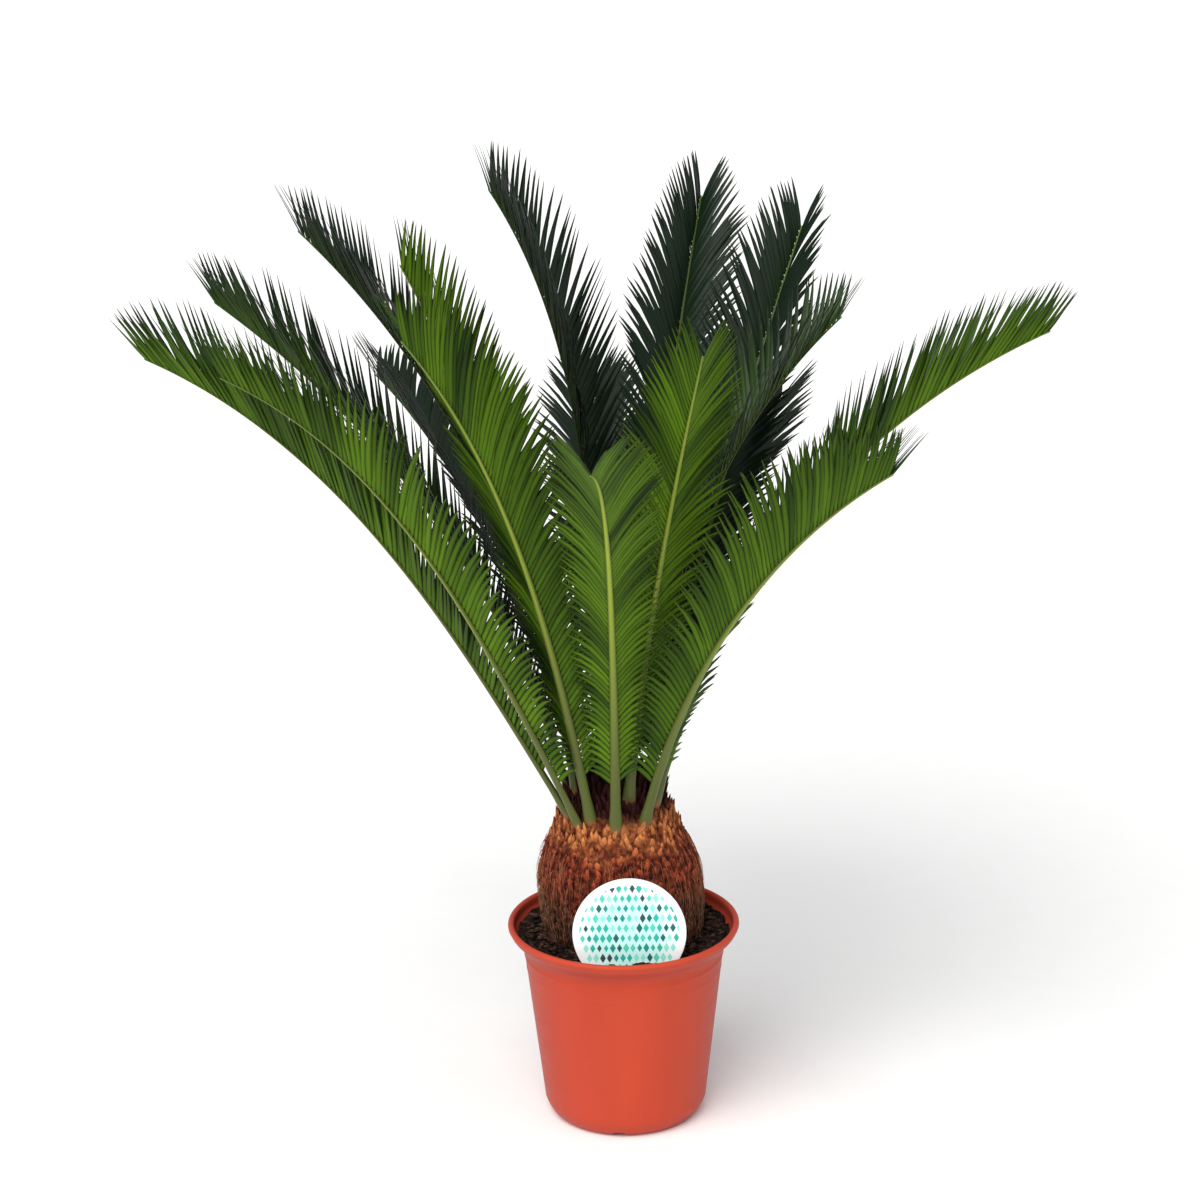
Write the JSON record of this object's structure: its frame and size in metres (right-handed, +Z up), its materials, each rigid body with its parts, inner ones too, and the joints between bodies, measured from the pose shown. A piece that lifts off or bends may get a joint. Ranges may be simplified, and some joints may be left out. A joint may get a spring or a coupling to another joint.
{
  "type": "potted sago palm",
  "caption": "Sago palm with a swollen scaly trunk and a full crown of arching, comb-like fronds, standing in a round flared nursery pot with a plain patterned plant label.",
  "frame": {"origin": "centre of the pot's flat underside", "axes": "+Z up, -Y to the front, the side with the label"},
  "size_m": [0.6766, 0.6881, 0.7184],
  "materials": {
    "terracotta_plastic": "satin terracotta-coloured moulded plastic",
    "substrate": "dark moist bark and peat",
    "bark": "rough red-brown leaf bases, woolly and paler at the crown",
    "label_card": "white plastic card with a plain pattern of mint and teal lozenges",
    "frond_green": "glossy green leaflets on a paler green rib"
  },
  "bodies": {
    "root": {"pot": "terracotta_plastic", "substrate": "substrate", "trunk": "bark", "label": "label_card", "frond_left_low": "frond_green", "frond_left_front": "frond_green", "frond_left_back": "frond_green", "frond_left_back_high": "frond_green", "frond_left_inner": "frond_green", "frond_front_left": "frond_green", "frond_front": "frond_green", "frond_front_right_high": "frond_green", "frond_front_right": "frond_green", "frond_right": "frond_green", "frond_right_back": "frond_green", "frond_back_right": "frond_green", "frond_back": "frond_green", "frond_back_left": "frond_green", "frond_rear_right": "frond_green", "frond_rear": "frond_green", "frond_rear_left": "frond_green"}
  },
  "joints": []
}
